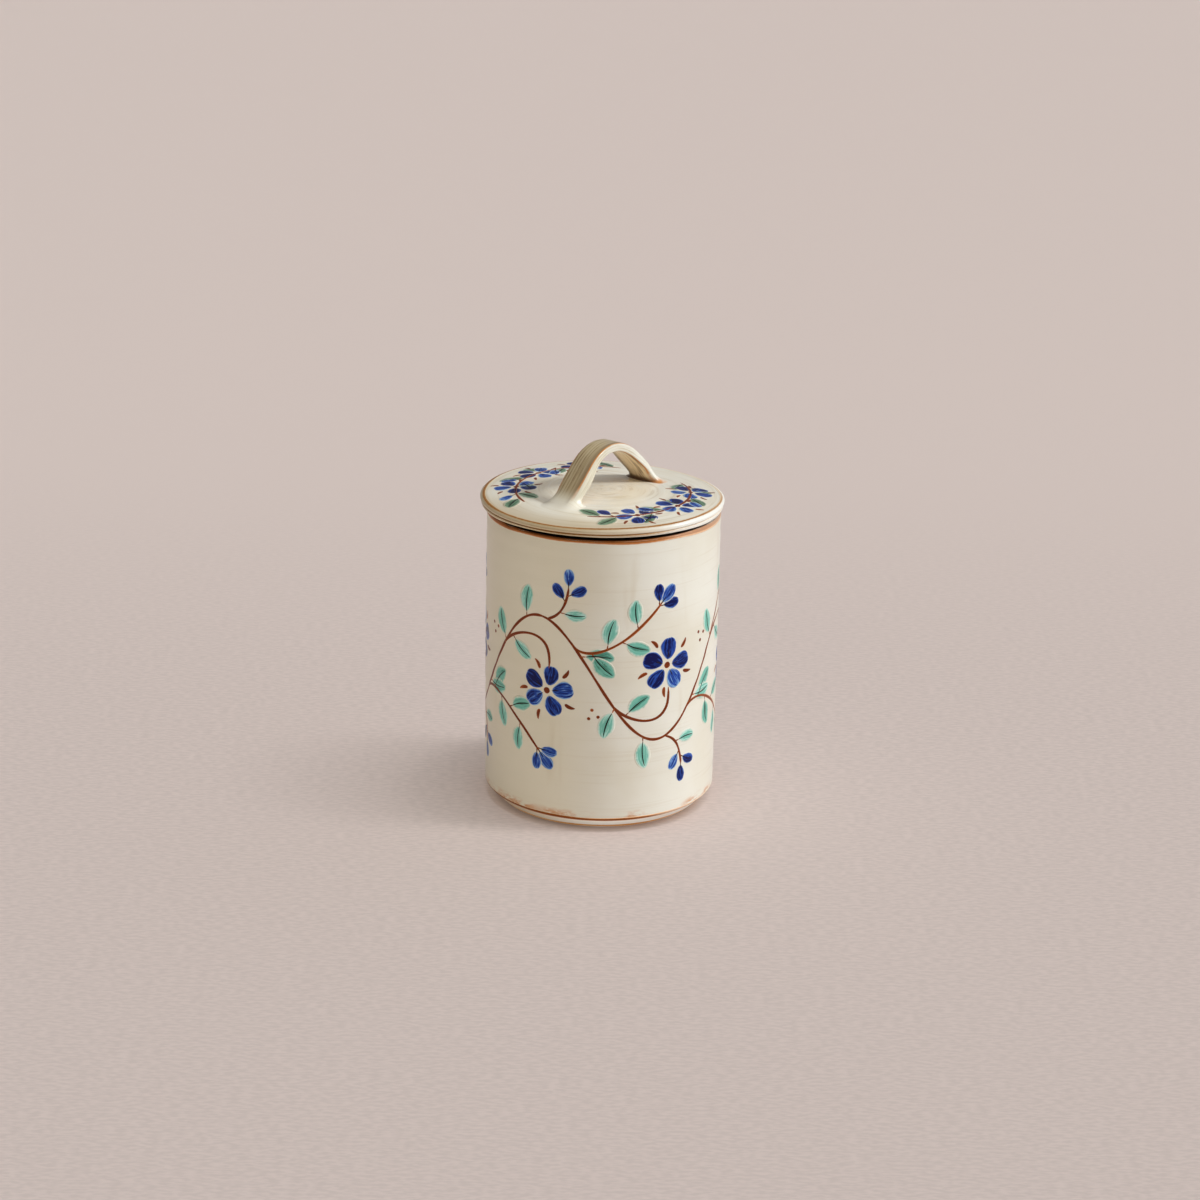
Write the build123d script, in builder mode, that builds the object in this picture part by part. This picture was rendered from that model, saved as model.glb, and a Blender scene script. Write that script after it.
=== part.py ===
"""Lidded ceramic jar: a wheel-thrown cylinder, a flat overhanging lid with a
locating flange, and a pulled strap handle bridging the middle of the lid.

Millimetres, +Z up, origin at the centre of the foot. The strap runs along X.
"""

import os
from math import acos, atan2, cos, hypot, pi, sin

from build123d import *

# Jar: thrown wall and floor in one, with a bevel turned at the foot
body_diameter = 116.0
jar_height = 150.5
wall = 5.5
floor_thickness = 6.0
foot_diameter = 102.0
bevel_height = 7.0
bevel_round = 0.8
foot_ring_width = 7.0
base_recess = 1.5
cove_radius = 8.0
rim_round = 1.5

# Lid: a shallow disc that overhangs the rim, thinned from below
lid_overhang = 2.0
lid_seat_gap = 0.3
lid_edge_height = 5.0
lid_edge_top_round = 1.3
lid_edge_under_round = 1.6
lid_rise = 2.4
lid_thickness = 5.6
lid_landing_margin = 2.5

# Flange: the ring under the lid that keeps it centred in the mouth
flange_clearance = 1.2
flange_wall = 4.0
flange_depth = 9.0
flange_round = 1.2
flange_ledge = 1.5

# Strap handle: sizes at its centre line, heights above the lid
handle_span = 64.4
handle_rise = 21.4
handle_crown_radius = 24.0
handle_thickness = 4.6
handle_width = 11.5
handle_foot_width = 17.0
handle_edge_round = 1.4
handle_foot_depth = 6.0

# Places that follow from those sizes
body_radius = body_diameter / 2
mouth_radius = body_radius - wall
foot_radius = foot_diameter / 2
recess_radius = foot_radius - foot_ring_width
floor_top = base_recess + floor_thickness
lid_radius = body_radius + lid_overhang
lid_under = jar_height + lid_seat_gap
lid_edge_top = lid_under + lid_edge_height
lid_top = lid_edge_top + lid_rise
flange_radius = mouth_radius - flange_clearance
flange_bore_radius = flange_radius - flange_wall
ceiling_radius = flange_bore_radius - flange_ledge

# The strap's legs run straight to the lid and meet the crown's arc without a corner
half_span = handle_span / 2
crown_centre = handle_rise - handle_crown_radius
foot_distance = hypot(half_span, crown_centre)
tangent_angle = atan2(-crown_centre, half_span) + acos(handle_crown_radius / foot_distance)
tangent_x = handle_crown_radius * cos(tangent_angle)
tangent_z = crown_centre + handle_crown_radius * sin(tangent_angle)
leg_angle = pi / 2 - tangent_angle
foot_reach = half_span + handle_thickness / 2 / sin(leg_angle)
buried_x = half_span + handle_foot_depth * cos(leg_angle)
buried_z = -handle_foot_depth * sin(leg_angle)
landing_radius = foot_reach + lid_landing_margin
handle_top = lid_top + handle_rise + handle_thickness

os.makedirs("parts", exist_ok=True)

# Jar body
with BuildPart() as jar_body:
    with BuildSketch(Plane.XZ) as jar_profile:
        with BuildLine():
            Polyline(
                (0, base_recess),
                (recess_radius, base_recess),
                (recess_radius, 0),
                (foot_radius, 0),
                (body_radius, bevel_height),
                (body_radius, jar_height),
                (mouth_radius, jar_height),
                (mouth_radius, floor_top),
                (0, floor_top),
                close=True,
            )
        make_face()
        cove_corner = jar_profile.vertices().sort_by_distance((mouth_radius, floor_top, 0))[0]
        fillet(cove_corner, cove_radius)
        bevel_corner = jar_profile.vertices().sort_by_distance((body_radius, bevel_height, 0))[0]
        fillet(bevel_corner, bevel_round)
        fillet(jar_profile.vertices().group_by(Axis.Y)[-1], rim_round)
    revolve(axis=Axis.Z)
jar_body.part.label = "jar_body"
export_step(jar_body.part, "parts/jar_body.step")

# Lid disc
with BuildPart() as lid_disc:
    with BuildSketch(Plane.XZ) as lid_profile:
        with BuildLine():
            Polyline(
                (0, lid_top - lid_thickness),
                (ceiling_radius, lid_top - lid_thickness),
                (ceiling_radius, lid_under),
                (lid_radius, lid_under),
                (lid_radius, lid_edge_top),
                (landing_radius, lid_top),
                (0, lid_top),
                close=True,
            )
        make_face()
        upper_corner = lid_profile.vertices().sort_by_distance((lid_radius, lid_edge_top, 0))[0]
        fillet(upper_corner, lid_edge_top_round)
        lower_corner = lid_profile.vertices().sort_by_distance((lid_radius, lid_under, 0))[0]
        fillet(lower_corner, lid_edge_under_round)
    revolve(axis=Axis.Z)
lid_disc.part.label = "lid_disc"
export_step(lid_disc.part, "parts/lid_disc.step")

# Lid flange
with BuildPart() as lid_flange:
    with BuildSketch(Plane.XY.offset(lid_under)):
        Circle(flange_radius)
        Circle(flange_bore_radius, mode=Mode.SUBTRACT)
    extrude(amount=-flange_depth)
    fillet(lid_flange.edges().group_by(Axis.Z)[0], flange_round)
lid_flange.part.label = "lid_flange"
export_step(lid_flange.part, "parts/lid_flange.step")

# Strap handle
with BuildPart() as strap_handle:
    with BuildSketch(Plane(origin=(0, 0, lid_top), x_dir=(1, 0, 0), z_dir=(0, -1, 0))):
        with BuildLine():
            Line((-buried_x, buried_z), (-tangent_x, tangent_z))
            ThreePointArc((-tangent_x, tangent_z), (0, handle_rise), (tangent_x, tangent_z))
            Line((tangent_x, tangent_z), (buried_x, buried_z))
        trace(line_width=handle_thickness)
    extrude(amount=handle_foot_width / 2, both=True)
    with BuildSketch(Plane.XY.offset(lid_top)):
        with BuildLine():
            near_side = ThreePointArc(
                (-landing_radius, -handle_foot_width / 2),
                (0, -handle_width / 2),
                (landing_radius, -handle_foot_width / 2),
            )
            far_side = ThreePointArc(
                (-landing_radius, handle_foot_width / 2),
                (0, handle_width / 2),
                (landing_radius, handle_foot_width / 2),
            )
            Line(near_side @ 0, far_side @ 0)
            Line(near_side @ 1, far_side @ 1)
        make_face()
    extrude(amount=handle_top - lid_top, mode=Mode.INTERSECT)
    above_lid = strap_handle.edges().filter_by_position(Axis.Z, lid_top + handle_edge_round, handle_top)
    fillet(above_lid.filter_by(GeomType.LINE, reverse=True), handle_edge_round)
strap_handle.part.label = "strap_handle"
export_step(strap_handle.part, "parts/strap_handle.step")
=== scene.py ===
"""A lidded ceramic jar: cream glaze over a thrown body, iron-brown lips and lines,
a brush-painted vine around the jar and a wreath on the lid.

Shapes are worked out in millimetres and written to meshes in metres.
"""

import cmath
import math
import random
from types import SimpleNamespace

import bpy
import numpy as np
from mathutils import Matrix, Vector


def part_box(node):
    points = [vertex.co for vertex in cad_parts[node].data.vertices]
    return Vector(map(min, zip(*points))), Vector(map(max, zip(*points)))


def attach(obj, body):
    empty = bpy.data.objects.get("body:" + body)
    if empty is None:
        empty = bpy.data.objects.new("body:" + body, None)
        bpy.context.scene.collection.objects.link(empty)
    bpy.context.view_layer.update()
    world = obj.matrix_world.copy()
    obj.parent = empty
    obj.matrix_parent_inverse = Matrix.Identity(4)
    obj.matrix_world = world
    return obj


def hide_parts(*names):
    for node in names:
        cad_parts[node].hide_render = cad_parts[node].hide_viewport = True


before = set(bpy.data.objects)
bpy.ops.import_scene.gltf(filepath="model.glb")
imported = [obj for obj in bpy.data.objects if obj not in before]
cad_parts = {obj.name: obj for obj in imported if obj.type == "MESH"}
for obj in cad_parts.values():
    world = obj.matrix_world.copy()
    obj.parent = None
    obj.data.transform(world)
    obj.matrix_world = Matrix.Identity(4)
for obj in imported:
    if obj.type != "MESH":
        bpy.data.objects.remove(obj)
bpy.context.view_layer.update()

MM = 0.001
TURN = 2 * math.pi
SEED = 11
dice = random.Random(SEED)


# Sizes, in millimetres

def node_box(node):
    """The lowest and highest corner of a solid at rest."""
    low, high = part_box(node)
    return low / MM, high / MM


jar_high = node_box("jar_body")[1]
lid_low, lid_high = node_box("lid_disc")
flange_low, flange_high = node_box("lid_flange")
handle_high = node_box("strap_handle")[1]

JAR_RADIUS = jar_high.x
JAR_HEIGHT = jar_high.z
WALL = 5.5
MOUTH_RADIUS = JAR_RADIUS - WALL
RIM_SHOULDER = JAR_HEIGHT - 0.45
FOOT_RADIUS = 51.0
FOOT_RING = 7.0
BASE_RECESS = 1.5
FLOOR_TOP = 7.5
BEVEL = 7.0
COVE = 8.0

LID_RADIUS = lid_high.x
LID_UNDER = lid_low.z
LID_LIP = LID_UNDER + 0.7
LID_GROOVE = LID_UNDER + 2.2
LID_EDGE_TOP = LID_UNDER + 4.9
LID_CROWN = lid_high.z
LID_CEILING = LID_UNDER + 1.8
CEILING_RADIUS = 45.8
SEAT_RADIUS = LID_RADIUS - 6.2
GROOVE_RADIUS = LID_RADIUS - 0.95
LID_DOME = 2.4

FLANGE_RADIUS = flange_high.x
FLANGE_WALL = 4.0
FLANGE_BOTTOM = flange_low.z
FLANGE_TOP = LID_UNDER + 0.6

STRAP_THICKNESS = 4.6
STRAP_WIDTH = 12.0
STRAP_CROWN_RADIUS = 24.0
STRAP_HALF_SPAN = 32.2
STRAP_ROOT = 3.2
STRAP_SHIFT = (-0.36, 0.48)
STRAP_RISE = handle_high.z - LID_CROWN - STRAP_THICKNESS / 2

# Reach of the strap's smeared feet and of its flare towards them, at the left and right foot
SMEAR_OUTER = (6.0, 3.5)
SMEAR_INNER = (4.5, 2.6)
SMEAR_NEAR = (4.0, 5.0)
SMEAR_FAR = (4.5, 3.0)
SMEAR_HEIGHT = 10.0
FLARE_INSIDE = (2.6, 4.2)
FLARE_OUTSIDE = (0.0, 2.2)
FLARE_HEIGHTS = (22.0, 8.0)

# Mesh counts, the spacing of points on a small arc and the share of texture map for what is hidden
ROUND_SEGMENTS = 256
RING_SEGMENTS = 128
ARC_STEP = 0.35
HIDDEN_MAP = 0.3
STRAP_ROWS = 170
STRAP_COLUMNS = 88

# The photograph's camera: metres, degrees, and pixels of its square frame
CAMERA_AZIMUTH = -53.4
CAMERA_DISTANCE = 1.3709
CAMERA_HEIGHT = 0.5710
CAMERA_PITCH = 18.95
CAMERA_TURN = 0.051
CAMERA_ROLL = 1.15
FOCAL_PIXELS = 2921.6
FRAME_PIXELS = 1200
SENSOR = 36.0
FRONT = math.radians(CAMERA_AZIMUTH - 90)


def aim_from(side, height):
    """Direction of a place in the room, in degrees round from the camera's line and up from the floor."""
    azimuth, elevation = math.radians(CAMERA_AZIMUTH + side), math.radians(height)
    level = math.cos(elevation)
    return Vector((math.sin(azimuth) * level, -math.cos(azimuth) * level, math.sin(elevation)))


# The jar's shaded side, towards which its glaze, its bevel and the floor are painted darker as painted shade
SHADY = aim_from(-90, 0)


# Thrown forms

def part(value, start, end):
    """How far a value has come from start to end, held between 0 and 1."""
    return np.clip((value - start) / (end - start), 0, 1)


def eased(value, start, end):
    """As part, with a soft start and end."""
    share = part(value, start, end)
    return share * share * (3 - 2 * share)


def compass(angle):
    """The unit vector at an angle, or one for each angle."""
    return np.stack([np.cos(angle), np.sin(angle)], -1)


def rounded(corners, spacing):
    """Points along a polyline of (r, z, rounding) corners; spacing gives each straight's point spacing."""
    places = [complex(r, z) for r, z, _ in corners]
    points = places[:1]
    for i, gap in enumerate(spacing, 1):
        start, arc = places[i], []
        rounding = corners[i][2]
        if rounding:
            into, out = places[i] - places[i - 1], places[i + 1] - places[i]
            turn = cmath.phase(out / into)
            ahead = into / abs(into) * rounding
            start -= ahead * abs(math.tan(turn / 2))
            spoke = ahead * math.copysign(1, turn) * -1j
            shares = np.linspace(0, 1, max(4, int(rounding * abs(turn) / ARC_STEP)))[1:]
            arc = list(start - spoke + spoke * np.exp(1j * turn * shares))
        last = points[-1]
        count = max(1, round(abs(start - last) / gap))
        points += [last + (start - last) * k / count for k in range(1, count + 1)] + arc
    return np.array([(p.real, p.imag) for p in points])


# Hand-made strays from the true form: lengths in millimetres, places on the ring in radians
JAR_RING, JAR_RING_PITCH = 0.06, 10.0
LID_RING, LID_RING_PITCH = 0.05, 7.0
RIM_LIP = 5.0
DENT_AT = FRONT - 0.93
DENT_BREADTH = 0.055
DENT_IN, DENT_DOWN = 0.5, 0.55
LID_OFF_CENTRE = 1.0
LIP_HANG = 0.6
PRESSED_AT = (31.0, -2.0)
PRESSED_REACH, PRESSED_DEPTH = 16.0, 0.9


def ripple(t, pitch, phase):
    """An uneven run of finger ridges along t, between -1 and 1."""
    return np.sin(TURN * t / pitch + 1.4 * np.sin(t / pitch * 0.8 + phase) + phase)


def at_sides(theta):
    """1 at the two sides seen from the front, 0 at the front and the back."""
    return eased(np.cos(2 * (theta - FRONT)), 0.4, -0.6)


def jar_warp(r, z, theta):
    """The thrown jar is a little out of round, slightly full in the middle, ringed and dented at the lip."""
    up = part(z, 0, JAR_HEIGHT)
    share = part(r, 0, JAR_RADIUS)
    oval = 0.32 * np.sin(2 * theta + 0.6) * up + 0.16 * np.sin(3 * theta + 2.0)
    belly = 0.2 * np.sin(math.pi * up) - 0.3 * (1 - up) ** 2 - 0.3
    rings = JAR_RING * ripple(z + 0.9 * np.sin(theta), JAR_RING_PITCH, 0.4)
    rings = rings * part(z, 9, 15) * part(z, JAR_HEIGHT - 3, JAR_HEIGHT - 7)
    lip = part(z, JAR_HEIGHT - RIM_LIP, JAR_HEIGHT)
    away = (theta - DENT_AT + math.pi) % TURN - math.pi
    dent = np.exp(-(away / DENT_BREADTH) ** 2) * lip
    sag = lip * (0.25 + 0.2 * np.cos(theta - FRONT + 0.8) + 0.04 * np.sin(5 * theta))
    sag = sag * (1 - 0.8 * at_sides(theta))
    return r + share * (oval + belly + rings - DENT_IN * dent), z - sag - DENT_DOWN * dent


def lid_crown(r):
    """Height of the lid's gently domed top at radius r."""
    fall = LID_CROWN - LID_EDGE_TOP
    return LID_CROWN - fall * (np.clip(r, 0, LID_RADIUS) / (LID_RADIUS - 0.9)) ** LID_DOME


def lid_warp(r, z, theta):
    """The lid is a little out of round, off centre and bowed, with finger rings on its top."""
    share = part(r, 0, LID_RADIUS)
    rings = LID_RING * ripple(r + 0.6 * np.sin(theta), LID_RING_PITCH, 1.9)
    rings = rings * part(r, 56.5, 53.5) * part(z, LID_EDGE_TOP - 1.2, LID_EDGE_TOP)
    turn = theta - FRONT
    oval = 0.12 * np.sin(3 * theta + 0.5) - 0.15 - LID_OFF_CENTRE * np.sin(turn)
    bow = 0.3 + 0.5 * np.cos(2 * turn + 1.57)
    droop = 0.7 * np.clip(np.cos(turn - 2.4), 0, 1) ** 3
    from_press = np.hypot(r * np.cos(theta) - PRESSED_AT[0], r * np.sin(theta) - PRESSED_AT[1])
    pressed = PRESSED_DEPTH * np.exp(-(from_press / PRESSED_REACH) ** 2)
    top = part(z, LID_LIP, LID_EDGE_TOP)
    lip = part(z, LID_GROOVE, LID_LIP) * part(r, SEAT_RADIUS, SEAT_RADIUS + 1)
    fall = (share ** 2 * bow + share * droop + pressed) * top + LIP_HANG * at_sides(theta) * lip
    return r + share * oval, z + rings - fall


def turned(r, z, theta):
    """Points from radius, height and angle."""
    return np.stack([r * np.cos(theta), r * np.sin(theta), z], -1)


def link_mesh(name, points, faces, sharp=None):
    """A mesh object from points in millimetres; sharp marks the faces that are flat shaded."""
    mesh = bpy.data.meshes.new(name)
    mesh.from_pydata(np.asarray(points) * MM, [], faces)
    flat = np.zeros(len(faces), bool) if sharp is None else np.asarray(sharp, bool)
    mesh.polygons.foreach_set("use_smooth", ~flat)
    return link_object(name, mesh)


def link_object(name, data):
    made = bpy.data.objects.new(name, data)
    bpy.context.scene.collection.objects.link(made)
    return made


def set_uv(mesh, corner_uv):
    layer = mesh.uv_layers.new(name="OFBake")
    layer.data.foreach_set("uv", np.asarray(corner_uv, np.float32).ravel())


def set_marks(mesh, name, kind, field, values):
    """Writes values to the points of a mesh, for its material to read."""
    marks = mesh.attributes.new(name, kind, "POINT")
    marks.data.foreach_set(field, np.asarray(values, np.float32).ravel())


def loft(rows, columns, closed=False):
    """The faces between rows of points that each go once round; closed joins the last row to the first."""
    faces = []
    for i in range(rows if closed else rows - 1):
        a, b = i * columns, (i + 1) % rows * columns
        for j in range(columns):
            k = (j + 1) % columns
            faces.append((a + j, a + k, b + k, b + j))
    return faces


def revolve(name, profile, warp, axis, limit):
    """A closed turned solid whose profile runs from the axis, round the outside, and back to the axis. What
    shows, with its r (axis 0) or z (axis 1) over a limit, has more of the texture map than the rest."""
    segments = ROUND_SEGMENTS
    rows = profile[1:-1]
    theta = np.arange(segments) * TURN / segments
    r, z = warp(rows[:, :1], rows[:, 1:], theta[None, :])
    points = turned(r, z, theta[None, :] + 0 * r).reshape(-1, 3)
    ends = [[0, 0, profile[0, 1]], [0, 0, profile[-1, 1]]]
    points = np.vstack([points, ends])
    middle = (profile[1:] + profile[:-1]) / 2
    spans = np.hypot(*np.diff(profile, axis=0).T) * np.where(middle[:, axis] > limit, 1.0, HIDDEN_MAP)
    v = np.concatenate([[0], np.cumsum(spans)]) / spans.sum()
    faces = loft(len(rows), segments)
    uv = [
        ((j + right) / segments, v[i + up])
        for i in range(1, len(rows))
        for j in range(segments)
        for right, up in ((0, 0), (1, 0), (1, 1), (0, 1))
    ]
    first, last = len(points) - 2, len(points) - 1
    end = (len(rows) - 1) * segments
    for j in range(segments):
        k = (j + 1) % segments
        left, right = j / segments, (j + 1) / segments
        faces += [(first, k, j), (end + j, end + k, last)]
        uv += [(left, v[0]), (right, v[1]), (left, v[1])]
        uv += [(left, v[-2]), (right, v[-2]), (left, v[-1])]
    made = link_mesh(name, points, faces)
    set_uv(made.data, uv)
    return made


jar_profile = rounded(
    [
        (0, BASE_RECESS, 0),
        (FOOT_RADIUS - FOOT_RING, BASE_RECESS, 0.5),
        (FOOT_RADIUS - FOOT_RING, 0, 0.7),
        (FOOT_RADIUS, 0, 0.8),
        (JAR_RADIUS, BEVEL, 0.7),
        (JAR_RADIUS, JAR_HEIGHT - 0.65, 0.8),
        (MOUTH_RADIUS + 2.0, RIM_SHOULDER, 0.5),
        (MOUTH_RADIUS + 1.0, JAR_HEIGHT, 0.6),
        (MOUTH_RADIUS, JAR_HEIGHT - 1.0, 0.6),
        (MOUTH_RADIUS, FLOOR_TOP, COVE),
        (0, FLOOR_TOP, 0),
    ],
    [5, 0.5, 1.2, 0.6, 1.0, 0.6, 0.4, 0.4, 3.0, 4.0],
)
lid_top_radii = np.linspace(LID_RADIUS - 2.8, 0, 64)
lid_profile = np.vstack([
    rounded(
        [
            (0, LID_CEILING, 0),
            (CEILING_RADIUS, LID_CEILING, 0.9),
            (CEILING_RADIUS, LID_UNDER, 0.6),
            (SEAT_RADIUS, LID_UNDER, 0.5),
            (LID_RADIUS - 5.2, LID_UNDER + 0.6, 0.5),
            (LID_RADIUS - 0.9, LID_LIP, 0.35),
            (LID_RADIUS - 0.45, LID_UNDER + 1.5, 0.3),
            (GROOVE_RADIUS, LID_GROOVE, 0.2),
            (LID_RADIUS, LID_UNDER + 2.9, 0.9),
            (LID_RADIUS, LID_UNDER + 4.2, 0.9),
            (LID_RADIUS - 1.1, LID_UNDER + 4.8, 0.25),
            (LID_RADIUS - 2.1, lid_crown(LID_RADIUS - 2.1), 0),
        ],
        [4, 0.6, 1.5, 0.4, 0.6, 0.3, 0.3, 0.3, 0.3, 0.3, 0.3],
    ),
    np.stack([lid_top_radii, lid_crown(lid_top_radii)], -1),
])
flange_profile = rounded(
    [
        (FLANGE_RADIUS - FLANGE_WALL, FLANGE_TOP, 0),
        (FLANGE_RADIUS - FLANGE_WALL, FLANGE_BOTTOM, 1.8),
        (FLANGE_RADIUS, FLANGE_BOTTOM, 1.8),
        (FLANGE_RADIUS, FLANGE_TOP, 0),
    ],
    [1.0, 0.5, 1.0],
)


# Painting: strokes are thin pads that follow the glaze, gathered into one mesh for each colour

# Their top over the glaze and base under it, each stroke's cell of the texture map, and how far left
# of the front, in radians, the brown lines are loaded
LIFT = 0.022
SINK = 0.25
LAYER, LAYERS = 0.002, 6
CELLS, CELL_MARGIN = 18, 0.05
LOADED = 0.95
RIBBON_ACROSS = np.array([-1, -0.55, 0, 0.55, 1])
BLADE_ACROSS = np.array([-1, -0.86, -0.62, -0.3, 0, 0.3, 0.62, 0.86, 1])


class Paint:
    """One colour's strokes on one surface. place(u, v, lift) turns painting millimetres into a point."""

    def __init__(self, name, place, lift=LIFT):
        self.name, self.place, self.lift = name, place, lift
        self.points, self.faces, self.sharp, self.uv, self.marks = [], [], [], [], []
        self.count = 0

    def pad(self, u, v, along, across, edge, ring=False, load=None):
        """Adds a pad from grids of rows along the stroke and columns across it. edge is the distance to the
        pad's edge in millimetres, and load is how full the brush is."""
        rows, columns = u.shape
        lift = self.lift + LAYER * (self.count % LAYERS)
        top = self.place(u, v, lift)
        under = self.place(u, v, -SINK)[:, ::-1]
        loop = np.concatenate([top, under], 1)
        wide = 2 * columns
        base = sum(len(p) for p in self.points)
        self.points.append(loop.reshape(-1, 3))
        load = dice.random() if load is None else load
        marks = np.stack([along, across, 0 * u + load, edge], -1)
        self.marks.append(np.concatenate([marks, marks[:, ::-1]], 1).reshape(-1, 4))
        cell = np.array([self.count % CELLS, self.count // CELLS % CELLS]) / CELLS
        fill = 1 - 2 * CELL_MARGIN
        uv = cell + (CELL_MARGIN + fill * np.stack([along, 0.5 + 0.5 * across], -1)) / CELLS
        uv = np.concatenate([uv, 0 * uv], 1)
        for i in range(rows if ring else rows - 1):
            n = (i + 1) % rows
            after = uv[n].copy()
            if ring and n == 0:
                after[:columns, 0] = cell[0] + (1 - CELL_MARGIN) / CELLS
            a, b = base + i * wide, base + n * wide
            for j in range(wide):
                k = (j + 1) % wide
                self.faces.append((a + j, b + j, b + k, a + k))
                shown = j < columns - 1
                self.sharp.append(not shown)
                corners = (uv[i, j], after[j], after[k], uv[i, k])
                self.uv += [tuple(c) if shown else (0.0, 0.0) for c in corners]
        if not ring:
            for end, order in ((0, 1), (rows - 1, -1)):
                self.faces.append(tuple(base + end * wide + j for j in range(wide))[::order])
                self.sharp.append(True)
                self.uv += [(0.0, 0.0)] * wide
        self.count += 1

    def sweep(self, path, side, along, across, half, edge):
        """Adds a pad along path: half is its half width, and edge is its edge distance, for each point."""
        grid = path[:, None] + side[:, None] * (half * across)[..., None]
        self.pad(grid[..., 0], grid[..., 1], along[:, None] + 0 * edge, across + 0 * edge, edge)

    def ribbon(self, path, width, ends=0.5):
        """A brush line along path, fuller in the middle and tapered over the share of it given by ends."""
        path = np.asarray(path, float)
        step = np.gradient(path, axis=0)
        side = np.stack([-step[:, 1], step[:, 0]], -1) / np.hypot(*step.T)[:, None]
        along = np.linspace(0, 1, len(path))
        swell = np.clip(np.minimum(along, 1 - along) / ends, 0, 1) ** 0.5
        wander = 1 + 0.13 * np.sin(9 * along * len(path) / 20 + TURN * dice.random())
        half = (width / 2 * (0.35 + 0.65 * swell) * wander)[:, None]
        self.sweep(path, side, along, RIBBON_ACROSS, half, half * (1 - abs(RIBBON_ACROSS)))

    def blade(self, base, angle, length, width, bend=0.0, fullness=1.0, belly=0.0, rows=15):
        """A leaf or petal. fullness under 1 is pointed, over 1 blunt; belly shifts its widest part."""
        t = 0.5 - 0.5 * np.cos(np.linspace(0.04, 0.985, rows) * math.pi)
        turn = angle + bend * (t - 0.35)
        step = np.diff(t, prepend=0)[:, None] * length
        path = np.asarray(base) + np.cumsum(step * compass(turn), 0)
        shape = np.sin(math.pi * t ** (1 + belly)) ** (1 / (2 * fullness))
        side = np.stack([-np.sin(turn), np.cos(turn)], -1)
        half = (width / 2 * shape)[:, None]
        wobble = 1 + 0.05 * np.sin(5 * t + TURN * dice.random())[:, None] * np.sign(BLADE_ACROSS)
        edge = np.minimum(half * (1 - abs(BLADE_ACROSS)), np.minimum(t, 1 - t)[:, None] * length)
        self.sweep(path, side, t, BLADE_ACROSS, half * wobble, edge)
        return path

    def build(self, body, slot, material):
        made = link_mesh(self.name, np.vstack(self.points), self.faces, self.sharp)
        set_uv(made.data, self.uv)
        set_marks(made.data, "stroke", "FLOAT_COLOR", "color", np.vstack(self.marks))
        finish_piece(made, body, material)


def finish_piece(made, body, material, node=None):
    """Gives a piece its material and body, and hides the node that it takes the place of."""
    made.data.materials.append(material)
    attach(made, body)
    if node:
        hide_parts(node)


def run(path):
    """The distance along a path at each of its points."""
    return np.concatenate([[0], np.cumsum(np.hypot(*np.diff(path, axis=0).T))])


def on_jar(u, v, lift):
    """Painting place on the jar's wall: u runs right from the front, v is the height."""
    theta = FRONT + u / JAR_RADIUS
    r, z = jar_warp(JAR_RADIUS + 0 * v, v, theta)
    return turned(r + lift, z, theta)


def on_lid(u, v, lift):
    """Painting place on the lid's top: u and v are X and Y."""
    theta = np.arctan2(v, u)
    flat = np.hypot(u, v)
    r, z = lid_warp(flat, lid_crown(flat), theta)
    return turned(r, z + lift, theta)


def band(paint, profile, warp, centre, width, waver, fade, columns=9, spread=0.0):
    """A painted ring along a profile, width across and wandering by waver, in millimetres. It is loaded on
    the front's left and thins out round from there, the more so for a larger fade. spread is how much
    earlier on the profile it starts at the two sides."""
    reach = run(profile)
    tangent = np.gradient(profile, axis=0)
    tangent /= np.hypot(*tangent.T)[:, None]
    middle = reach[np.argmin(np.hypot(*(profile - centre).T))]
    theta = (np.arange(ROUND_SEGMENTS) * TURN / ROUND_SEGMENTS)[:, None]
    phase = [TURN * dice.random() for _ in range(4)]
    drift = waver * (0.6 * np.sin(2 * theta + phase[0]) + 0.4 * np.sin(7 * theta + phase[1]))
    swell = 1 + 0.5 * waver / width * (np.sin(3 * theta + phase[2]) + np.sin(11 * theta + phase[3]))
    across = np.linspace(-1, 1, columns)[None, :]
    at = middle + drift + across * width / 2 * swell - spread * at_sides(theta) * (1 - across) / 2

    def place(a, angle, lift):
        r, z = (np.interp(a, reach, profile[:, i]) for i in (0, 1))
        dr, dz = (np.interp(a, reach, tangent[:, i]) for i in (0, 1))
        r, z = warp(r, z, angle)
        return turned(r + dz * lift, z - dr * lift, angle)

    surface, paint.place = paint.place, place
    angle = theta + 0 * at
    edge = (1 - abs(across)) * width / 2 * swell
    load = (0.5 + 0.5 * np.cos(theta - FRONT + LOADED)) ** fade + 0.06 * np.sin(9 * theta + phase[3])
    paint.pad(at, angle, angle / TURN, across + 0 * at, edge, ring=True, load=np.clip(load, 0, 1))
    paint.place = surface


def bezier(*corners, points=24):
    a, b, c, d = (np.array(x, float) for x in corners)
    t = np.linspace(0, 1, points)[:, None]
    return a * (1 - t) ** 3 + 3 * b * t * (1 - t) ** 2 + 3 * c * t ** 2 * (1 - t) + d * t ** 3


def heading(path, share):
    """The point and the direction of travel at a share of a path."""
    i = min(len(path) - 2, int(share * (len(path) - 1)))
    step = path[i + 1] - path[i]
    return path[i], math.atan2(step[1], step[0])


# The brushes of one surface and how far each one's strokes lie over LIFT, in millimetres
BRUSHES = (("rust_stems", 0.014), ("green_leaves", -0.006), ("blue_petals", 0.004), ("dark_veins", 0.026))
PETALS = 5
STALK_TAPER = 0.9


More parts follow.
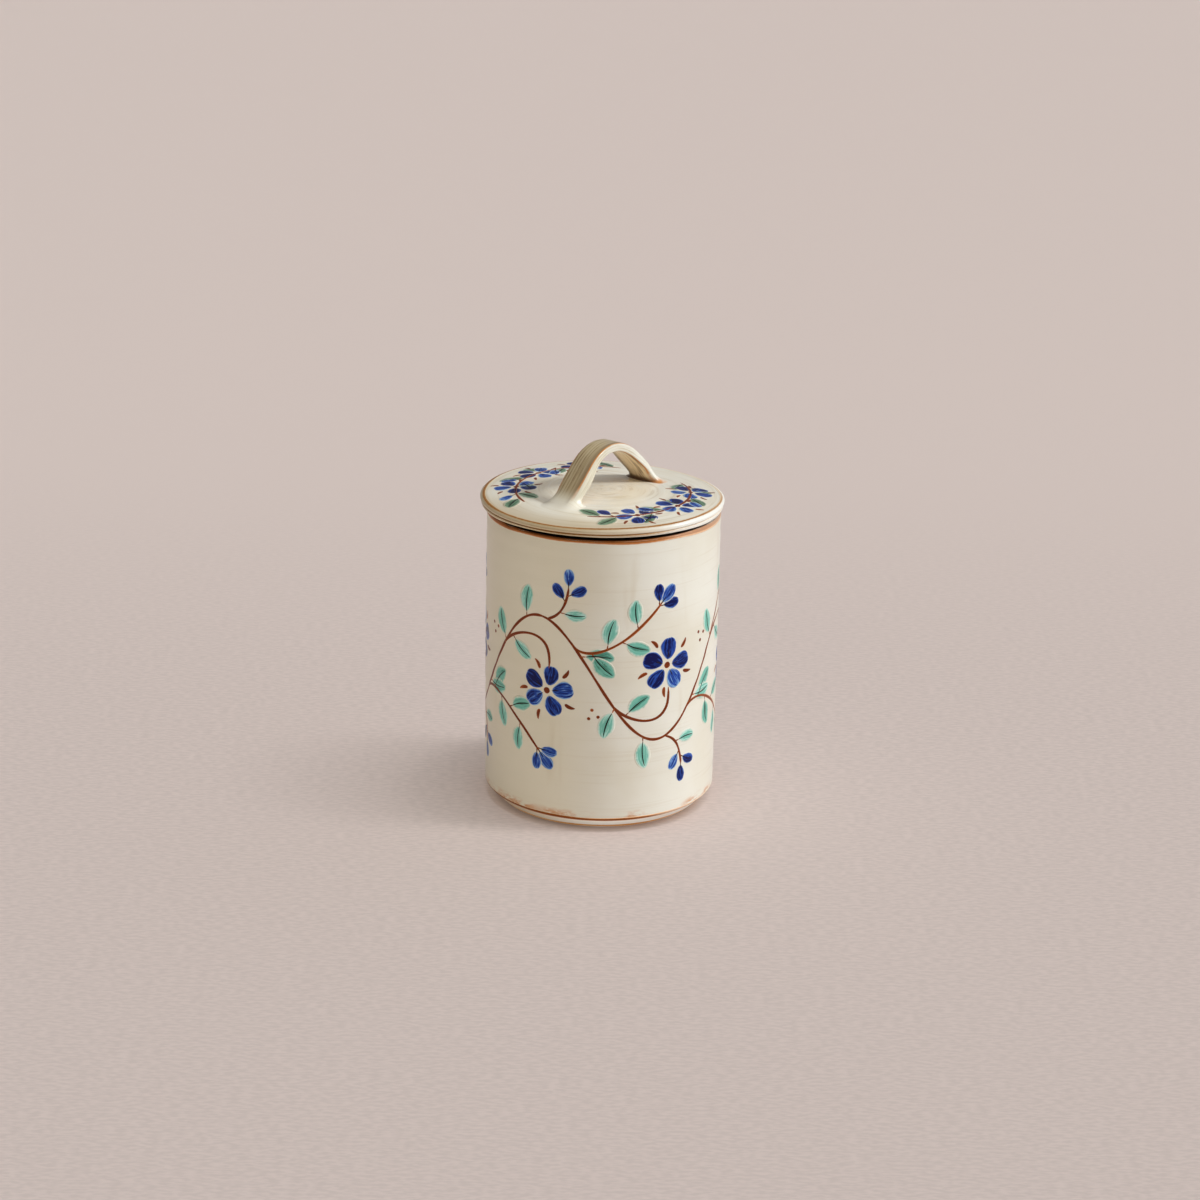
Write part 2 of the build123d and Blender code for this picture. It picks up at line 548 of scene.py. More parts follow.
class Painter:
    """The brushes for one surface, and the motifs drawn with them."""

    def __init__(self, surface, place):
        self.brushes = [Paint(f"{surface}_{name}", place, LIFT + over) for name, over in BRUSHES]
        self.rust, self.leaf, self.blue, self.dark = self.brushes

    def stalk(self, base, angle, length, width):
        """A short rust stem; returns its far end."""
        foot = np.asarray(base) + length * compass(angle)
        self.rust.ribbon(np.linspace(base, foot, 5), width, STALK_TAPER)
        return foot

    def leaf_on(self, base, angle, length, width, stalk, bend):
        """A pointed leaf with a midrib, on a short stalk."""
        foot = self.stalk(base, angle, stalk, 0.75)
        path = self.leaf.blade(foot, angle, length, width, bend, fullness=0.85)
        self.dark.ribbon(path[: int(len(path) * 0.8)], 0.62)

    def blossom(self, centre, size, turn):
        """Blunt petals round a rust eye, with a rust dab between each two."""
        centre = np.asarray(centre)
        for i in range(PETALS):
            angle = turn + i * TURN / PETALS + dice.uniform(-0.08, 0.08)
            aim = compass(angle)
            long = size * dice.uniform(0.36, 0.41)
            petal = centre + aim * size * 0.1
            self.blue.blade(petal, angle, long, long * 0.84, bend=0.2, fullness=1.25, belly=0.35)
            self.dark.ribbon(centre + np.outer(np.linspace(0.1, 0.24, 5), aim) * size, 0.6, 0.7)
            self.comma(centre, size * 0.40, angle + TURN / PETALS / 2, size * 0.2)
        self.dot(centre, size * 0.12)

    def comma(self, centre, distance, angle, length):
        """A short rust dab pointing away from a centre."""
        base = centre + compass(angle) * distance
        self.rust.blade(base, angle, length, length * 0.34, bend=0.9, fullness=0.9, belly=-0.3, rows=9)

    def dot(self, centre, size):
        self.rust.blade(np.asarray(centre) - [size / 2, 0], 0.0, size, size, rows=9)

    def bud(self, base, angle, stalk, stalk_width, length):
        """A blue drop with a dark cup, on a short stalk."""
        foot = self.stalk(base, angle, stalk, stalk_width)
        self.blue.blade(foot, angle, length, length * 0.66, bend=0.25, fullness=1.1, belly=0.2)
        cup = np.outer(np.linspace(-0.12, 0.3, 5), compass(angle)) * length
        self.dark.ribbon(foot + cup, 0.65, 0.7)

    def build(self, body, slot, materials):
        """Makes one piece for each brush, from its material."""
        for brush, material in zip(self.brushes, materials):
            brush.build(body, slot, material)


# Vine round the jar: a wave with a hooked flower and a drooping spray in each bay

VINE_WAVES = 3
VINE_MIDDLE = 78.0
VINE_SWING = 31.0
VINE_START = -32.0
VINE_OVERLAP = 3.0
WAVE = VINE_WAVES / JAR_RADIUS
STEM = 1.35


def paint_vine(painter):
    round_jar = np.linspace(0, TURN * JAR_RADIUS + VINE_OVERLAP, 420)
    main = np.stack([round_jar + VINE_START, VINE_MIDDLE + VINE_SWING * np.cos(WAVE * round_jar)], -1)
    painter.rust.ribbon(main, STEM, 0.01)
    for bay in range(2 * VINE_WAVES):
        paint_bay(painter, VINE_START + bay * math.pi / WAVE, 1 if bay % 2 == 0 else -1)


def paint_bay(painter, middle, flip):
    """One bay, drawn as if under a crest of the wave, and turned over for the troughs."""

    def lay(path):
        return np.array([middle, VINE_MIDDLE]) + np.asarray(path, float) * [1, flip]

    def stem(x):
        return np.array([x, VINE_SWING * math.cos(WAVE * x)])

    def sprig(path, share, side, length, width):
        base, angle = heading(path, share)
        bend = -0.5 * flip * math.copysign(1, side)
        painter.leaf_on(lay(base), flip * (angle + side), length, width, 2.5, bend)

    hook = bezier(stem(-23), stem(-23) + [6, 9], (9, 29), (6, 5))
    painter.rust.ribbon(lay(hook), 1.4, 0.06)
    painter.blossom(lay((5.0, -6.5)), 28.0, flip * 1.2 + 0.2 * dice.random())
    sprig(hook, 0.22, -1.2, 13.5, 8.0)

    droop = bezier(stem(-43), stem(-43) + [5, 8], (-20, -14), (2, -40), points=30)
    painter.rust.ribbon(lay(droop), STEM, 0.06)
    for share, side in ((0.36, 1.0), (0.52, -1.0), (0.68, 1.0), (0.82, -1.0)):
        sprig(droop, share, side, 15.5 - 3 * share, 9.6 - 2 * share)
    tip, angle = heading(droop, 1.0)
    for spread, length in ((-0.75, 9.0), (0.0, 10.5), (0.75, 9.0)):
        painter.bud(lay(tip), flip * (angle + spread), 2.4, 0.8, length)

    crest = np.array([stem(x) for x in np.linspace(-26, 26, 40)])
    for share, side in ((0.10, 1.0), (0.36, 1.05), (0.93, 1.0)):
        sprig(crest, share, side, 14.5, 8.6)
    base, _ = heading(crest, 0.60)
    spray = bezier(base, base + [7, 2], base + [10, 8], base + [11, 17])
    painter.rust.ribbon(lay(spray), 1.25, 0.08)
    sprig(spray, 0.40, -1.0, 11.5, 7.0)
    for share, side in ((0.7, 0.9), (0.85, -0.9), (1.0, 0.1)):
        point, angle = heading(spray, share)
        painter.bud(lay(point), flip * (angle + side), 2.0, 0.75, 8.8)
    for x, y in ((28, -14), (31, -17.5), (26.5, -18.5)):
        painter.dot(lay((x, y)), 1.7)


# Wreath on the lid: two leafy crescents, one each side of the handle

WREATH_RADIUS = 43.0
WREATH_HALF = 1.12
WREATH_LEAVES = (0, 1, 3, 4, 6, 7, 9, 10)


def paint_wreath(painter):
    for side in (-1, 1):
        angles = side * (math.pi / 2 + np.linspace(-WREATH_HALF, WREATH_HALF, 60))
        path = WREATH_RADIUS * compass(angles)
        painter.rust.ribbon(path, 1.2, 0.05)
        for i in WREATH_LEAVES:
            base, angle = heading(path, 0.04 + i * 0.09)
            lean = 1 if i % 2 else -1
            painter.leaf_on(base, angle + 0.75 * lean, 13.5, 8.0, 1.2, -0.3 * lean)
        for share in (0.22, 0.49, 0.76):
            base, angle = heading(path, share)
            painter.blossom(base, 22.5, angle)
        for share in (0.115, 0.36, 0.62, 0.88):
            base, angle = heading(path, share)
            painter.bud(base, angle + (0.9 if share < 0.5 else -0.9), 3.0, 0.7, 8.5)


# Strap handle

def strap_path():
    """Centre line of the strap in (x, height over the lid's crown), from root to root, and its run."""
    drop = STRAP_RISE - STRAP_CROWN_RADIUS
    far = math.hypot(STRAP_HALF_SPAN, drop)
    tangent = math.atan2(-drop, STRAP_HALF_SPAN) + math.acos(STRAP_CROWN_RADIUS / far)
    knee = compass(tangent) * STRAP_CROWN_RADIUS + [0, drop]
    foot = np.array([STRAP_HALF_SPAN, 0.0])
    leg = (foot - knee) / np.hypot(*(foot - knee))
    root = foot + leg * STRAP_ROOT
    arc = STRAP_CROWN_RADIUS * compass(np.linspace(math.pi - tangent, tangent, 60)) + [0, drop]
    path = np.vstack([root * [-1, 1], arc, root])
    reach = run(path)
    even = np.linspace(0, 1, STRAP_ROWS)
    at = reach[-1] * (even - 0.8 * np.sin(TURN * even) / TURN)
    path = np.stack([np.interp(at, reach, path[:, i]) for i in (0, 1)], -1)
    for _ in range(8):
        path[1:-1] = (path[:-2] + 2 * path[1:-1] + path[2:]) / 4
    return path, at[:, None]


def fillet(rise, radius):
    """How far a smeared foot reaches out at a height above the lid, for the radius of its smear."""
    share = np.clip(1 - rise / radius, 0, 1)
    return radius * (1 - np.sqrt(1 - share ** 2))


def blunted(wave, power):
    """A wave between -1 and 1 that dwells near its ends, the more so for a smaller power."""
    return np.sign(wave) * abs(wave) ** power


def strap_form():
    """A flat rounded section with soft ridges, swept along the strap and smeared onto the lid at both feet.
    Returns the points, their stroke marks and their rise above the lid."""
    path, at = strap_path()
    x, h = path[:, :1], path[:, 1:]
    left = x < 0
    rise = h + LID_CROWN - lid_crown(abs(x))
    step = abs(np.gradient(path, axis=0))
    lean = np.arctan2(step[:, :1], step[:, 1:])
    near = eased(rise, SMEAR_HEIGHT, 0.0)
    low = eased(rise, *FLARE_HEIGHTS)
    aim = lean * (1 - near)
    half_thick = STRAP_THICKNESS / 2 / np.cos(lean - aim)
    half_width = STRAP_WIDTH / 2 + 0.15 * np.sin(at / 9.0)

    phi = (np.arange(STRAP_COLUMNS) + 0.5) * TURN / STRAP_COLUMNS
    blunt = 0.24 + 0.4 * near
    across = blunted(np.cos(phi), blunt)
    thick = blunted(np.sin(phi), blunt + 0.14)
    inside, outside = np.clip(thick, -1, 0), np.clip(thick, 0, 1)
    nearer, farther = np.clip(across, -1, 0), np.clip(across, 0, 1)

    tip = np.sin(aim) * half_thick
    n = half_thick * thick + 0.045 * np.cos(across * 6.0 + 0.9) * np.sin(phi) * (1 - near)
    n += fillet(rise + tip, np.where(left, *SMEAR_OUTER)) * outside
    n += fillet(rise - tip, np.where(left, *SMEAR_INNER)) * inside
    y = half_width * across
    y += fillet(rise, np.where(left, *SMEAR_FAR)) * farther
    y += fillet(rise, np.where(left, *SMEAR_NEAR)) * nearer
    flare = np.where(left, *FLARE_INSIDE) * (1 - thick) + np.where(left, *FLARE_OUTSIDE) * (1 + thick)
    y += flare * low / 2 * nearer

    place_x = x + np.sign(x) * np.cos(aim) * n + STRAP_SHIFT[0]
    place_y = y + STRAP_SHIFT[1]
    ground = on_lid(place_x, place_y, 0.0)[..., 2] - lid_crown(abs(x))
    place_z = LID_CROWN + h + np.sin(aim) * n + ground * near ** 2
    corner = np.exp(-(((phi % (TURN / 4)) - TURN / 8) / 0.26) ** 2)
    marks = np.stack([at / at[-1] + 0 * across, across, thick, corner + 0 * across], -1)
    return np.stack([place_x, place_y, place_z], -1), marks, rise + np.sin(aim) * n


def make_handle():
    """The pulled strap, closed at both roots."""
    grid, marks, rise = strap_form()
    rows, columns = rise.shape
    faces = loft(rows, columns)
    faces.append(tuple(range(columns))[::-1])
    faces.append(tuple((rows - 1) * columns + j for j in range(columns)))
    made = link_mesh("handle_strap", grid.reshape(-1, 3), faces)
    set_marks(made.data, "stroke", "FLOAT_COLOR", "color", marks)
    set_marks(made.data, "rise", "FLOAT", "value", rise)
    finish_piece(made, "lid", handle_material(), "strap_handle")


# Colours

def srgb(*levels):
    """A colour given in levels from 0 to 255, as linear light."""
    shares = np.array(levels) / 255
    return (*np.where(shares <= 0.04045, shares / 12.92, ((shares + 0.055) / 1.055) ** 2.4), 1.0)


CREAM = srgb(238, 233, 219)
CREAM_SHADE = srgb(230, 222, 203)
# Whiter cream: painted light on the jar's bevel, and partly painted light on the lid's clean, lit edge
CLEAN_LIT_CREAM = srgb(248, 245, 236)
# Painted shade: the warmer, darker cream of the jar's shaded side
SHADED_SIDE_TONE = srgb(230, 218, 188)
LID_CREAM = srgb(251, 243, 225)
LID_SHADE = srgb(243, 230, 205)
LID_BRUSH = srgb(250, 244, 229)
STAIN = srgb(194, 168, 124)
IRON_THIN = srgb(206, 132, 62)
# Pale thin iron, partly painted light: lighter than the wash would be, for the lit end of the rim band under
# the lid's overhang
IRON_PALE = srgb(244, 190, 140)
# Near-black brown: painted shade in the seat under the lid and in the strap's crease, over pooled iron
POOLED_IRON_AND_SHADE = srgb(34, 15, 5)
AMBER_MIDDLE = srgb(184, 126, 66)
AMBER_DEEP = srgb(122, 80, 38)
WASH = srgb(194, 173, 134)
# Pale wash of the strap's under face, made paler as partly painted light
WASH_UNDER_LIT = srgb(251, 228, 190)
UMBER = srgb(118, 84, 50)
CLAY = srgb(176, 138, 104)
RUST = srgb(116, 46, 10)
VEIN = srgb(26, 12, 4)

# Pigments, each from thin to thick
BLUE = (srgb(138, 178, 216), srgb(34, 74, 164), srgb(0, 8, 72))
TEAL = (srgb(186, 228, 214), srgb(120, 190, 170), srgb(70, 132, 112))
SAGE = (srgb(176, 198, 170), srgb(112, 142, 112), srgb(62, 92, 66))
BROWN = (IRON_PALE, srgb(196, 124, 70), srgb(148, 86, 42))
DARK_BROWN = (IRON_PALE, srgb(152, 82, 28), srgb(118, 58, 14))
FOOT_AMBER = (srgb(242, 196, 128), srgb(226, 158, 82), AMBER_MIDDLE)
AMBER = (srgb(216, 166, 100), AMBER_MIDDLE, AMBER_DEEP)
ORANGE = (srgb(180, 96, 40), RUST, RUST)
BLACK = (VEIN, VEIN, RUST)


# Materials

class Net:
    """Short words for wiring the net of nodes of a material or of the world."""

    def __init__(self, owner):
        self.owner, self.tree = owner, owner.node_tree

    def node(self, kind, inputs=(), **settings):
        made = self.tree.nodes.new("ShaderNode" + kind)
        for key, value in settings.items():
            setattr(made, key, value)
        for key, value in dict(inputs).items():
            self.feed(made.inputs[key], value)
        return made

    def feed(self, socket, value):
        if isinstance(value, bpy.types.NodeSocket):
            self.tree.links.new(value, socket)
        else:
            socket.default_value = value

    def math(self, operation, a, b=0.0):
        return self.node("Math", {0: a, 1: b}, operation=operation).outputs[0]

    def times(self, product, *factors):
        for factor in factors:
            product = self.math("MULTIPLY", product, factor)
        return product

    def ramp(self, value, low, high, start=0.0, end=1.0):
        keys = {"Value": value, "From Min": low, "From Max": high, "To Min": start, "To Max": end}
        return self.node("MapRange", keys, interpolation_type="SMOOTHSTEP").outputs[0]

    def mix(self, factor, a, b, blend="MIX"):
        return self.node("Mix", {0: factor, 6: a, 7: b}, data_type="RGBA", blend_type=blend).outputs[2]

    def tint(self, colour, other, *limits):
        """Turns a colour into another by a ramp with these limits."""
        return self.mix(self.ramp(*limits), colour, other)

    def noise(self, vector, scale, detail=2.0, roughness=0.5):
        keys = {"Vector": vector, "Scale": scale, "Detail": detail, "Roughness": roughness}
        return self.node("TexNoise", keys).outputs["Fac"]

    def place(self):
        return self.node("TexCoord").outputs["Object"]

    def stretch(self, vector, scale):
        return self.node("Mapping", {"Vector": vector, "Scale": scale}).outputs[0]

    def parts(self, vector):
        return self.node("SeparateXYZ", {0: vector}).outputs

    def joined(self, x, y, z):
        return self.node("CombineXYZ", {0: x, 1: y, 2: z}).outputs[0]

    def length(self, vector):
        return self.node("VectorMath", {0: vector}, operation="LENGTH").outputs["Value"]

    def toward(self, vector, direction):
        """How far a vector reaches in a direction."""
        keys = {0: vector, 1: direction}
        return self.node("VectorMath", keys, operation="DOT_PRODUCT").outputs["Value"]

    def stroke(self):
        """The four marks painted into the mesh: along, across, load or thickness, and edge or corner."""
        mark = self.node("Attribute", attribute_name="stroke")
        split = self.node("SeparateColor", {0: mark.outputs["Color"]})
        return (*split.outputs[:3], mark.outputs["Alpha"])

    def shade(self, keys):
        """Ends a material in one shader with these sockets."""
        shader = self.node("BsdfPrincipled", keys)
        self.node("OutputMaterial", {0: shader.outputs[0]})
        return self.owner

    def finish(self, colour, roughness, height, shine=0.4, coat=0.12):
        """A glazed surface."""
        bump = self.node("Bump", {"Strength": 0.12, "Distance": 0.00006, "Height": height})
        return self.shade({
            "Base Color": colour, "Roughness": roughness, "Normal": bump.outputs[0], "IOR": 1.5,
            "Specular IOR Level": shine, "Coat Weight": coat, "Coat Roughness": 0.12,
        })


def new_net(name):
    """The empty net of a new material."""
    material = bpy.data.materials.new(name)
    material.use_nodes = True
    material.node_tree.nodes.clear()
    return Net(material)


# Scales of the glaze's noises, for each metre
CLOUDS = 22.0
RUNS = (75, 75, 12)
LID_WHEEL = 620.0
JAR_WHEEL = 800.0
SPECKS = 1400.0


def glaze(net, for_lid):
    """Cream glaze with clouds, throwing lines, runs and specks, as colour, roughness and height."""
    place = net.place()
    x, y, z = net.parts(place)
    radius = net.length(net.joined(x, y, 0.0))
    turn_x = net.math("DIVIDE", x, radius)
    turn_y = net.math("DIVIDE", y, radius)
    spoke = net.joined(turn_x, turn_y, 0.0)
    clouds = net.noise(place, CLOUDS, 3.0)
    ringed = net.times(radius, LID_WHEEL) if for_lid else net.times(z, JAR_WHEEL)
    wheel = net.noise(net.joined(ringed, turn_x, turn_y), 1.0, 3.0, 0.6)
    if for_lid:
        colour = lid_colour(net, clouds, wheel, radius, spoke)
    else:
        colour = jar_colour(net, clouds, wheel, spoke)
    runs = net.noise(net.stretch(place, RUNS), 1.0, 3.0, 0.55)
    colour = net.tint(colour, STAIN, runs, 0.60, 0.84, 0.0, 0.30)
    specks = net.noise(place, SPECKS, 1.0)
    colour = net.tint(colour, STAIN, specks, 0.74, 0.80, 0.0, 0.20)
    roughness = net.ramp(net.noise(place, 180.0), 0.3, 0.7, 0.275, 0.285)
    height = net.math("ADD", wheel, net.times(net.noise(place, 120.0, 1.0), 0.3))
    return colour, roughness, height


def lid_colour(net, clouds, wheel, radius, spoke):
    """Warm brushed cream. The edge is stained where its brown is loaded and clean elsewhere, the clean part
    whiter, partly painted light on the lit bead. The front-left edge of the top is tanned, partly stain and
    partly painted shade.
    """
    colour = net.tint(LID_CREAM, LID_SHADE, clouds, 0.36, 0.72)
    colour = net.tint(colour, LID_BRUSH, wheel, 0.30, 0.50, 0.50, 0.0)
    colour = net.tint(colour, STAIN, wheel, 0.52, 0.70, 0.0, 0.36)
    edge = net.ramp(radius, 0.0565, 0.0592)
    side = net.toward(spoke, (*compass(FRONT - LOADED), 0.0))
    # Partly painted light: the edge away from the loaded brown is whiter.
    clean_lit_edge = net.times(edge, net.ramp(side, -0.2, 0.5, 0.9, 0.0))
    colour = net.mix(clean_lit_edge, colour, CLEAN_LIT_CREAM)
    front = net.toward(spoke, (*compass(FRONT - 0.45), 0.0))
    # Partly stain and partly painted shade: tan towards the front-left edge.
    tanned_and_shaded = net.times(net.ramp(radius, 0.042, 0.057), net.ramp(front, 0.4, 0.95, 0.0, 0.6))
    colour = net.mix(tanned_and_shaded, colour, STAIN)
    stained = net.times(edge, net.ramp(side, 0.3, 1.0, 0.0, 0.75))
    stained = net.times(stained, net.ramp(clouds, 0.36, 0.60, 0.4, 0.9))
    return net.mix(stained, colour, STAIN)


def jar_colour(net, clouds, wheel, spoke):
    """Cool cream with faint throwing lines, and painted shade: a warmer, darker cream round the shaded side.
    """
    colour = net.tint(CREAM, CREAM_SHADE, clouds, 0.36, 0.72)
    colour = net.tint(colour, STAIN, wheel, 0.52, 0.75, 0.0, 0.14)
    shady = net.toward(spoke, SHADY)
    return net.tint(colour, SHADED_SIDE_TONE, shady, -0.3, 0.5, 0.0, 0.7)


def shell_material(name, for_lid):
    """The glaze on a thrown piece."""
    net = new_net(name)
    return net.finish(*glaze(net, for_lid))


def jar_material():
    """The jar's glaze, smeared brown above the foot, with a bevel painted whiter as painted light and
    stained darker on the shaded side as painted shade, and bare clay underneath.
    """
    net = new_net("jar_glaze")
    colour, roughness, height = glaze(net, False)
    place = net.place()
    z = net.parts(place)[2]
    shady = net.toward(place, SHADY)
    # Painted light and shade: the bevel is whiter cream, and stained darker towards the shaded side.
    bevel = net.tint(CLEAN_LIT_CREAM, STAIN, shady, -0.01, 0.045, 0.0, 0.75)
    colour = net.tint(colour, bevel, z, (BEVEL - 0.4) * MM, BEVEL * MM, 1.0, 0.0)
    freckles = net.noise(net.stretch(place, (150, 150, 420)), 1.0, 4.0, 0.6)
    above = net.times(net.ramp(z, 0.0074, 0.0120, 1.0, 0.0), net.ramp(z, 0.0068, 0.0074))
    patch = net.ramp(net.noise(place, 34.0, 1.0), 0.40, 0.56)
    smear = net.times(above, net.ramp(freckles, 0.40, 0.60), patch, 0.9)
    colour = net.mix(smear, colour, IRON_THIN)
    bare = net.ramp(z, 0.0001, 0.0004, 1.0, 0.0)
    grit = net.mix(net.noise(place, 900.0), CLAY, IRON_THIN)
    colour = net.mix(bare, colour, grit)
    roughness = net.math("MAXIMUM", roughness, net.times(bare, 0.8))
    return net.finish(colour, roughness, height)


def paint_material(name, for_lid, soft, pigments, breaks, streaks, thin=0.0, solid=False, shine=0.2):
    """A brushed pigment under the glaze, from thin to thick. soft is the width of its edge in millimetres,
    and thin is the share of its cover lost where the brush runs out."""
    net = new_net(name)
    cream, roughness, height = glaze(net, for_lid)
    along, across, load, edge = net.stroke()
    stroke_seed = net.times(load, 0.0 if thin else 60.0)
    brush = net.joined(net.times(along, 1.6), net.times(across, streaks), stroke_seed)
    streak = net.ramp(net.noise(brush, 1.0, 3.0, 0.6), 0.30, 0.70, 0.0, 0.5)
    grain = net.noise(net.place(), 700.0)
    depth = net.math("ADD", streak, net.ramp(load, 0.0, 1.0, -0.45 if thin else -0.16, 0.16))
    depth = net.math("ADD", depth, net.ramp(edge, 0.0, soft * 3.0, 0.0, 0.36))
    depth = net.math("ADD", depth, net.times(grain, 0.2))
    colour = net.tint(pigments[0], pigments[1], depth, *breaks[0])
    colour = net.tint(colour, pigments[2], depth, *breaks[1])
    if not solid:
        tooth = net.times(net.math("SUBTRACT", grain, 0.5), soft * 0.8)
        ragged = net.ramp(net.math("ADD", edge, tooth), 0.0, soft)
        cover = net.times(ragged, net.ramp(load, 0.1, 0.6, 1.0 - thin, 1.0))
        colour = net.mix(cover, cream, colour)
    return net.finish(colour, roughness, height, shine, 0.0)


def line_material(name, for_lid, soft, pigments, thin=0.6, breaks=((0.05, 0.4), (0.45, 0.9))):
    """A brown line that thins out round its ring."""
    return paint_material(name, for_lid, soft, pigments, breaks, 2.0, thin, shine=0.05)


def surface_paints(surface, for_lid):
    """The rust, green, blue and dark pigments as they lie on one surface."""
    green = SAGE if for_lid else TEAL
    settings = (
        ("_rust", 0.22, ORANGE, ((0.2, 0.6), (0.6, 0.9)), 3.0, 0.0, True),
        ("_green", 1.5, green, ((0.10, 0.45), (0.55, 0.95)), 4.0),
        ("_blue", 0.5, BLUE, ((0.22, 0.55), (0.55, 0.85)), 5.0),
        ("_dark", 0.2, BLACK, ((0.2, 0.6), (0.8, 1.0)), 2.0, 0.0, True),
    )
    return [paint_material(surface + name, for_lid, *more) for name, *more in settings]


def paint_seat_shade(material, by_radius, shade_start, shade_full):
    """Paints shade into the seat: turns a brown almost black from a start to a full radius in metres, or
    slope, as painted shade between lid and jar.
    """
    net = Net(material)
    if by_radius:
        x, y, _ = net.parts(net.place())
        measure = net.length(net.joined(x, y, 0.0))
    else:
        measure = net.parts(net.node("NewGeometry").outputs["Normal"])[2]
    base = net.tree.nodes["Principled BSDF"].inputs["Base Color"]
    net.feed(base, net.tint(base.links[0].from_socket, POOLED_IRON_AND_SHADE, measure, shade_start, shade_full))
    return material


def strap_values(net):
    """What the strap's colours go by: the place on its section, its streaks, patches and clear faces."""
    along, across, thick, corner = net.stroke()
    pulled = net.joined(net.times(along, 3.5), net.times(across, 8.0), net.times(thick, 2.5))
    rise = net.node("Attribute", attribute_name="rise").outputs["Fac"]
    under = net.ramp(thick, -0.9, -0.5, 1.0, 0.0)
    beneath = net.times(under, net.ramp(rise, 0.2, 2.0))
    clear = net.math("MAXIMUM", net.ramp(rise, 2.2, 7.5), beneath)
    face = net.times(net.ramp(net.math("ABSOLUTE", thick), 0.84, 0.95), clear)
    streak = net.noise(pulled, 1.0, 5.0, 0.6)
    patch = net.noise(net.place(), 110.0, 3.0)
    values = {"across": across, "thick": thick, "corner": corner, "rise": rise, "under": under}
    return SimpleNamespace(**values, clear=clear, face=face, streak=streak, patch=patch)


def wash_strap(net, strap, colour):
    """Thins the glaze to a wash on the strap's two faces, umber in streaks and along two of their edges: the
    outer face's near edge, and the under face's far edge as painted shade. The under face's wash is paler,
    partly painted light.
    """
    washed = net.times(strap.face, net.ramp(strap.streak, 0.30, 0.52, 0.65, 1.0))
    colour = net.mix(washed, colour, WASH)
    # Partly painted light: the under face takes a paler wash.
    below = net.times(strap.face, strap.under)
    colour = net.mix(below, colour, WASH_UNDER_LIT)
    dark = net.times(strap.face, net.ramp(strap.streak, 0.48, 0.68, 0.0, 0.85))
    dark = net.times(dark, net.ramp(strap.patch, 0.35, 0.55, 0.4, 1.0))
    colour = net.mix(dark, colour, UMBER)
    wide = net.times(net.ramp(strap.thick, 0.84, 0.95), net.ramp(strap.rise, 0.9, 3.2))
    brim = net.times(wide, net.ramp(strap.across, -0.95, -0.30, 0.65, 0.0))
    colour = net.mix(brim, colour, UMBER)
    # Painted shade: the under face darkens to umber towards its far edge.
    shaded = net.times(below, net.ramp(strap.across, 0.2, 0.95, 0.0, 0.75))
    colour = net.mix(shaded, colour, UMBER)
    side = net.math("SUBTRACT", strap.clear, strap.face)
    return net.mix(net.times(side, net.ramp(strap.streak, 0.46, 0.64, 0.0, 0.6)), colour, WASH)


def line_strap(net, strap, colour):
    """Breaks the glaze to rust along the strap's corners, turning to umber towards the under face's far side
    as painted shade.
    """
    line = net.times(net.ramp(strap.corner, 0.30, 0.85), net.ramp(strap.patch, 0.35, 0.6, 0.45, 1.0))
    # Painted shade: the corner line darkens to umber on the under face.
    shaded = net.times(strap.under, net.ramp(strap.across, 0.0, 0.5))
    return net.mix(net.times(line, strap.clear), colour, net.mix(shaded, IRON_THIN, UMBER))


def smear_toe(net, strap, colour):
    """Gathers brown round the strap's right foot, with painted shade turning the crease inside it almost
    black.
    """
    right = net.ramp(net.parts(net.place())[0], -0.005, 0.02)
    toe = net.times(net.ramp(strap.rise, 0.5, 2.6, 1.0, 0.0), right)
    toe = net.times(toe, net.ramp(strap.thick, 0.0, 0.6, 1.0, 0.3))
    brown = net.tint(IRON_THIN, AMBER_DEEP, strap.across, -0.95, -0.5)
    colour = net.mix(net.times(toe, net.ramp(strap.patch, 0.34, 0.52, 0.5, 0.95)), colour, brown)
    # Painted shade: the crease inside the foot is darkened almost to black.
    crease_shade = net.times(toe, net.ramp(strap.thick, -0.6, -0.1, 0.3, 0.0))
    crease_shade = net.times(crease_shade, net.ramp(strap.across, -0.9, -0.3, 0.1, 1.0))
    return net.mix(crease_shade, colour, POOLED_IRON_AND_SHADE)


def handle_material():
    """Cream glaze over the strap, thin and brown along its faces and corners, and the lid's at its feet."""
    net = new_net("handle_glaze")
    cream, roughness, height = glaze(net, False)
    foot, *_ = glaze(net, True)
    strap = strap_values(net)
    colour = net.tint(cream, foot, strap.rise, 0.5, 5.0, 1.0, 0.0)
    colour = wash_strap(net, strap, colour)
    colour = line_strap(net, strap, colour)
    colour = smear_toe(net, strap, colour)
    return net.finish(colour, roughness, height, 0.3, 0.1)


# Pieces

def make_jar():
    made = revolve("jar_shell", jar_profile, jar_warp, 0, JAR_RADIUS - 2.6)
    finish_piece(made, "jar", jar_material(), "jar_body")


def make_lid():
    made = revolve("lid_plate", lid_profile, lid_warp, 1, LID_UNDER + 0.5)
    finish_piece(made, "lid", shell_material("lid_glaze", True), "lid_disc")


def make_flange():
    """The locating ring: a closed turned band."""
    segments = RING_SEGMENTS
    theta = np.arange(segments)[None, :] * TURN / segments
    r, z = flange_profile[:, :1] + 0 * theta, flange_profile[:, 1:] + 0 * theta
    points = turned(r, z, theta + 0 * r).reshape(-1, 3)
    made = link_mesh("lid_ring", points, loft(len(flange_profile), segments, closed=True))
    finish_piece(made, "lid", shell_material("ring_glaze", False), "lid_flange")


LINE_LIFT = LIFT + 0.01


def jar_line(name, material, *sizes, **more):
    """A brown ring on the jar, with the sizes of its band."""
    line = Paint(name, on_jar, LINE_LIFT)
    band(line, jar_profile, jar_warp, *sizes, **more)
    line.build("jar", "jar_glaze", material)


